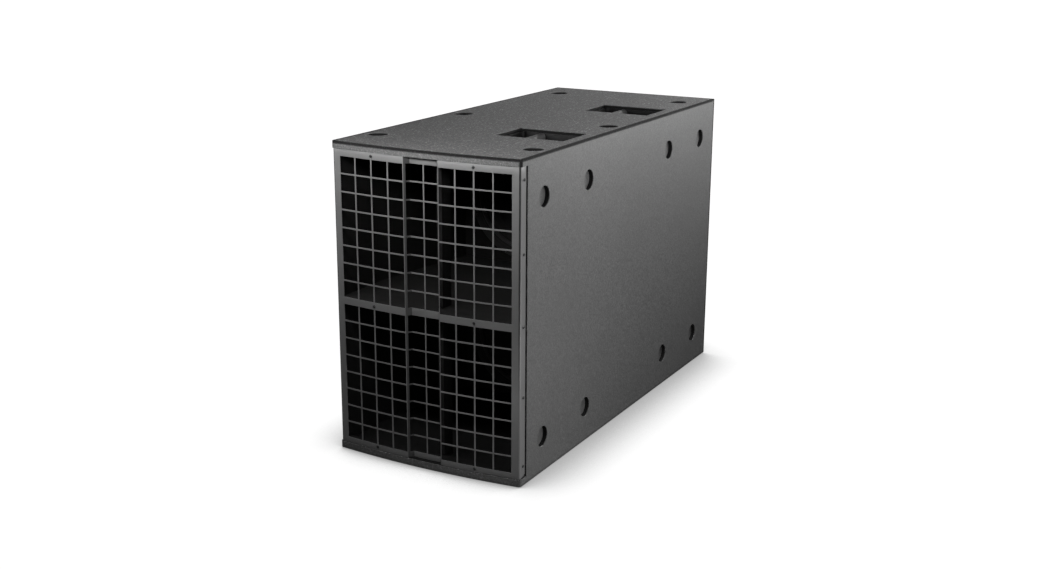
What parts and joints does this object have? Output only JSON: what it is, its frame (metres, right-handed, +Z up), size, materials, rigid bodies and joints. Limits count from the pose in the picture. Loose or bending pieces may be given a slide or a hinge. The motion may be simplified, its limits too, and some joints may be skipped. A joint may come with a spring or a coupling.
{
  "type": "deep bass loudspeaker cabinet",
  "caption": "Tall deep loudspeaker cabinet for low notes with a bowed folded-steel grille, pocket handles in the top, locating recesses and sprung cones behind a divided mouth.",
  "frame": {"origin": "on the floor, under the middle of the box that holds the whole cabinet", "axes": "+Z up; -Y out of the grille, the cabinet's front; +X to the right of someone facing the grille, the half that holds the handles"},
  "size_m": [0.53, 1.216, 0.802],
  "materials": {
    "textured_paint": "speckled dark grey structured paint over plywood, low sheen",
    "inner_paint": "thin black paint over bare plywood, matt",
    "powder_coated_steel": "dark grey powder coat, satin",
    "screw_steel": "blackened zinc, satin",
    "handle_plastic": "black moulded plastic, fine grain",
    "pad_rubber": "black rubber, matt",
    "cast_frame": "black painted casting, satin",
    "surround_rubber": "black rubber, dull",
    "cone_paper": "pressed black paper pulp, matt",
    "spider_cloth": "resin-stiffened woven cloth"
  },
  "bodies": {
    "cabinet": {"top_panel": "textured_paint", "bottom_panel": "textured_paint", "left_side_panel": "textured_paint", "right_side_panel": "textured_paint", "rear_panel": "textured_paint", "driver_baffle": "inner_paint", "mouth_shelf": "inner_paint", "rear_brace": "inner_paint", "horn_flare_lower_left": "inner_paint", "horn_flare_lower_right": "inner_paint", "horn_flare_upper_left": "inner_paint", "horn_flare_upper_right": "inner_paint", "grille_batten_upper": "inner_paint", "grille_batten_lower": "inner_paint", "grille_cleat_top": "inner_paint", "grille_cleat_bottom": "inner_paint", "front_grille": "powder_coated_steel", "connector_plate": "powder_coated_steel", "grille_screw_top_left": "screw_steel", "grille_screw_top_right": "screw_steel", "grille_screw_middle_left": "screw_steel", "grille_screw_middle_right": "screw_steel", "grille_screw_bottom_left": "screw_steel", "grille_screw_bottom_right": "screw_steel", "flange_screw_left_1": "screw_steel", "flange_screw_left_2": "screw_steel", "flange_screw_left_3": "screw_steel", "flange_screw_left_4": "screw_steel", "flange_screw_left_5": "screw_steel", "flange_screw_right_1": "screw_steel", "flange_screw_right_2": "screw_steel", "flange_screw_right_3": "screw_steel", "flange_screw_right_4": "screw_steel", "flange_screw_right_5": "screw_steel", "handle_dish_front": "handle_plastic", "handle_dish_rear": "handle_plastic", "handle_grip_front": "handle_plastic", "handle_grip_rear": "handle_plastic", "pad_front_left": "pad_rubber", "pad_front_right": "pad_rubber", "pad_middle_left": "pad_rubber", "pad_middle_right": "pad_rubber", "pad_rear_left": "pad_rubber", "pad_rear_right": "pad_rubber", "lower_basket": "cast_frame", "lower_magnet": "cast_frame", "lower_surround": "surround_rubber", "lower_spider": "spider_cloth", "upper_basket": "cast_frame", "upper_magnet": "cast_frame", "upper_surround": "surround_rubber", "upper_spider": "spider_cloth", "socket_left": "handle_plastic", "socket_right": "handle_plastic"},
    "upper_cone_body": {"upper_cone": "cone_paper", "upper_dust_cap": "cone_paper"},
    "lower_cone_body": {"lower_cone": "cone_paper", "lower_dust_cap": "cone_paper"}
  },
  "joints": [
    {"name": "upper_cone_travel", "type": "slide", "parent": "cabinet", "child": "upper_cone_body", "axis": [0, -1, 0], "range_m": [-0.008, 0.008], "stiffness_N_per_m": 7000},
    {"name": "lower_cone_travel", "type": "slide", "parent": "cabinet", "child": "lower_cone_body", "axis": [0, -1, 0], "range_m": [-0.008, 0.008], "stiffness_N_per_m": 7000}
  ]
}
